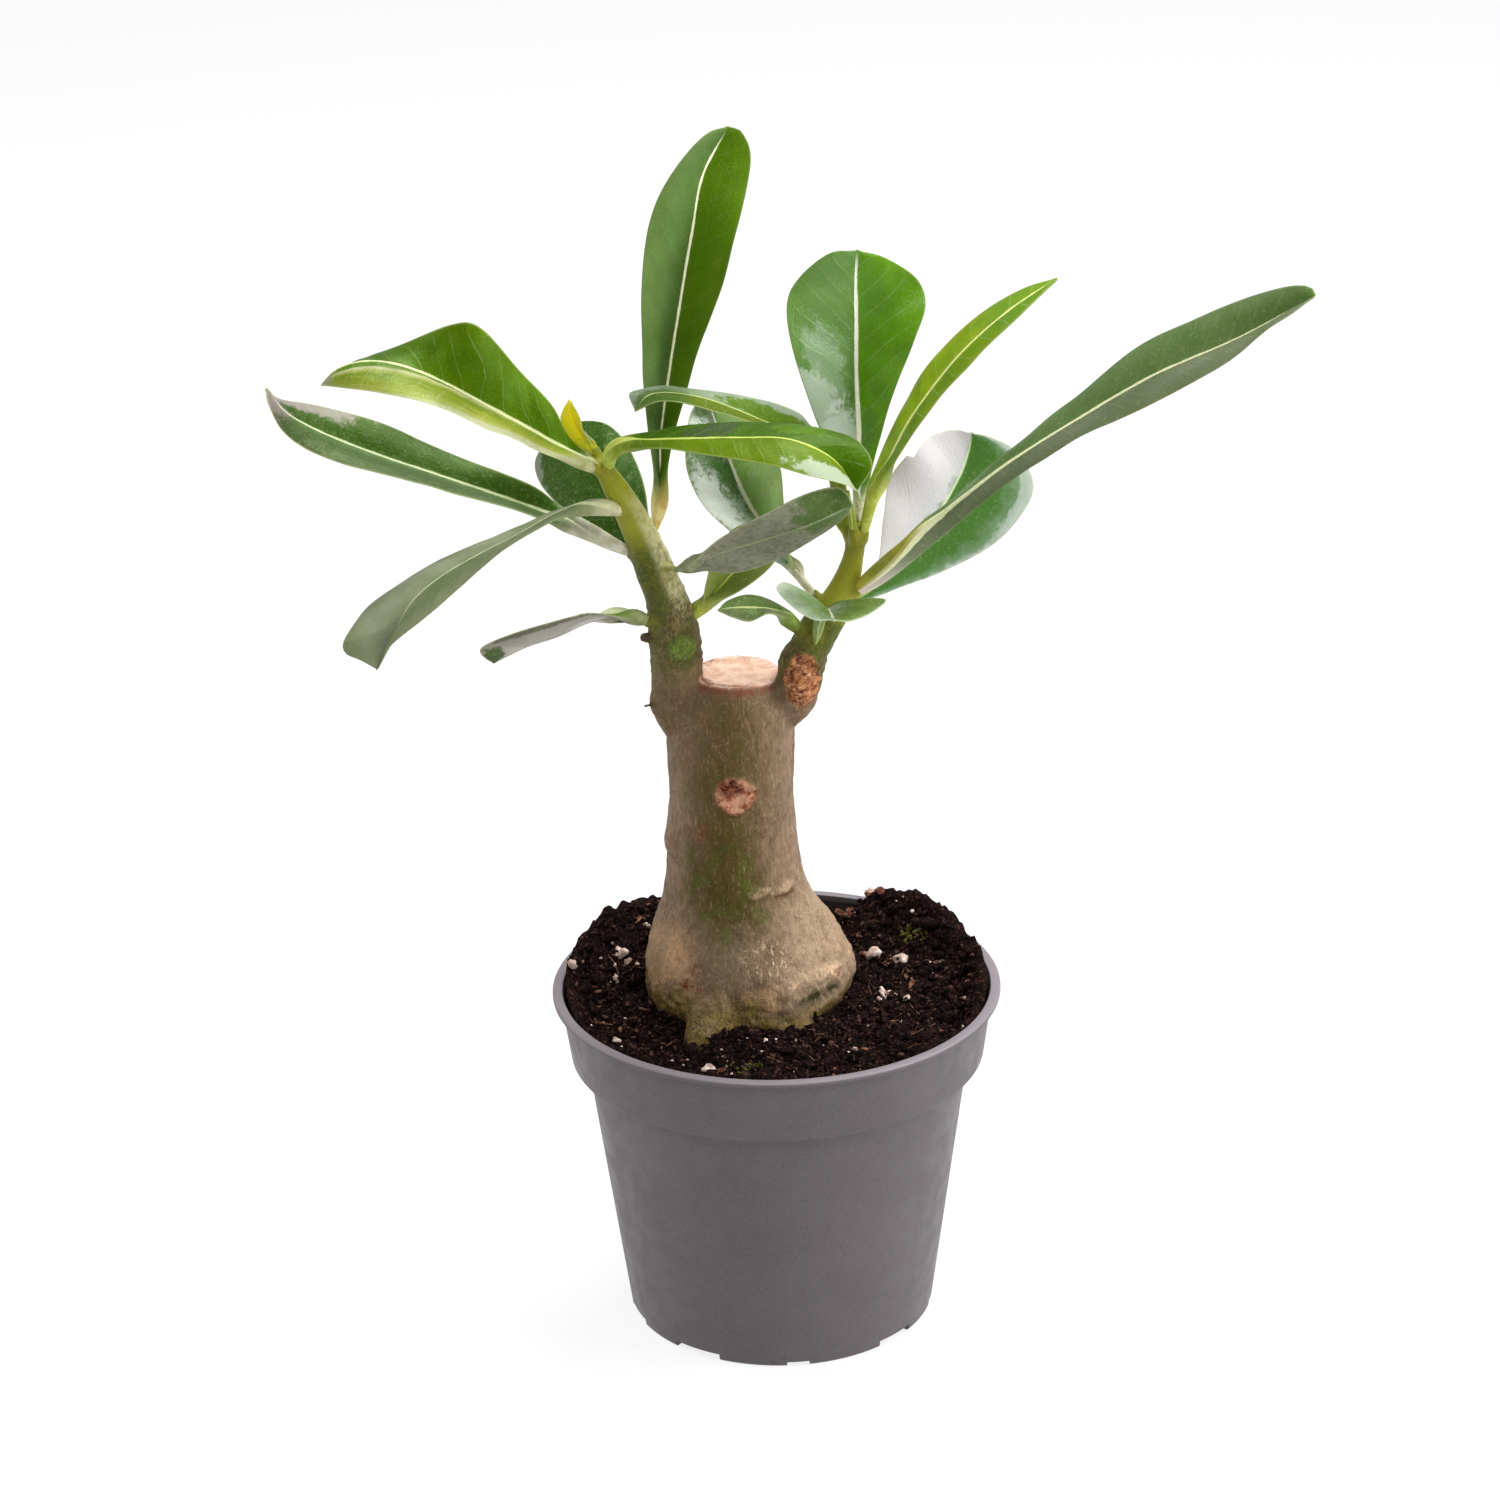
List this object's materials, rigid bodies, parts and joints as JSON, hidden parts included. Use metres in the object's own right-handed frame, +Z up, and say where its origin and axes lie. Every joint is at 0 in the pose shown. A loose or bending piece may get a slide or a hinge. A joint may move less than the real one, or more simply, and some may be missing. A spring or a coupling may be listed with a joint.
{
  "type": "potted desert rose",
  "caption": "Young desert rose with a swollen trunk cut level, side shoots of long leathery green leaves, potting soil and a round grey plastic nursery pot.",
  "frame": {"origin": "centre of the pot's underside, on the ground, in the middle of the pot's round centre foot", "axes": "+Z up; -Y towards the front, the side of the trunk with the round pruning scar; +X to the right as seen from the front"},
  "size_m": [0.2302, 0.105, 0.2836],
  "materials": {
    "pot_plastic": "matte",
    "potting_soil": "matte",
    "trunk_bark": "matte",
    "stem_bark": "satin",
    "deep_green_leaf": "satin",
    "mid_green_leaf": "satin",
    "young_green_leaf": "satin",
    "grey_green_leaf": "satin"
  },
  "bodies": {
    "root": {"pot": "pot_plastic", "soil": "potting_soil", "trunk": "trunk_bark", "left_stem": "stem_bark", "right_stem": "stem_bark", "left_long_leaf": "deep_green_leaf", "tall_upright_leaf": "deep_green_leaf", "left_back_leaf": "deep_green_leaf", "centre_lower_leaf": "deep_green_leaf", "centre_back_leaf": "deep_green_leaf", "centre_small_leaf": "deep_green_leaf", "right_back_leaf": "deep_green_leaf", "left_folded_leaf": "mid_green_leaf", "centre_arching_leaf": "mid_green_leaf", "centre_upper_leaf": "mid_green_leaf", "right_near_leaf": "mid_green_leaf", "right_upright_leaf": "mid_green_leaf", "left_young_leaf": "young_green_leaf", "right_narrow_leaf": "young_green_leaf", "right_young_leaf": "young_green_leaf", "left_drooping_leaf": "grey_green_leaf", "left_low_leaf": "grey_green_leaf", "centre_front_leaf": "grey_green_leaf", "right_long_leaf": "grey_green_leaf"}
  },
  "joints": []
}
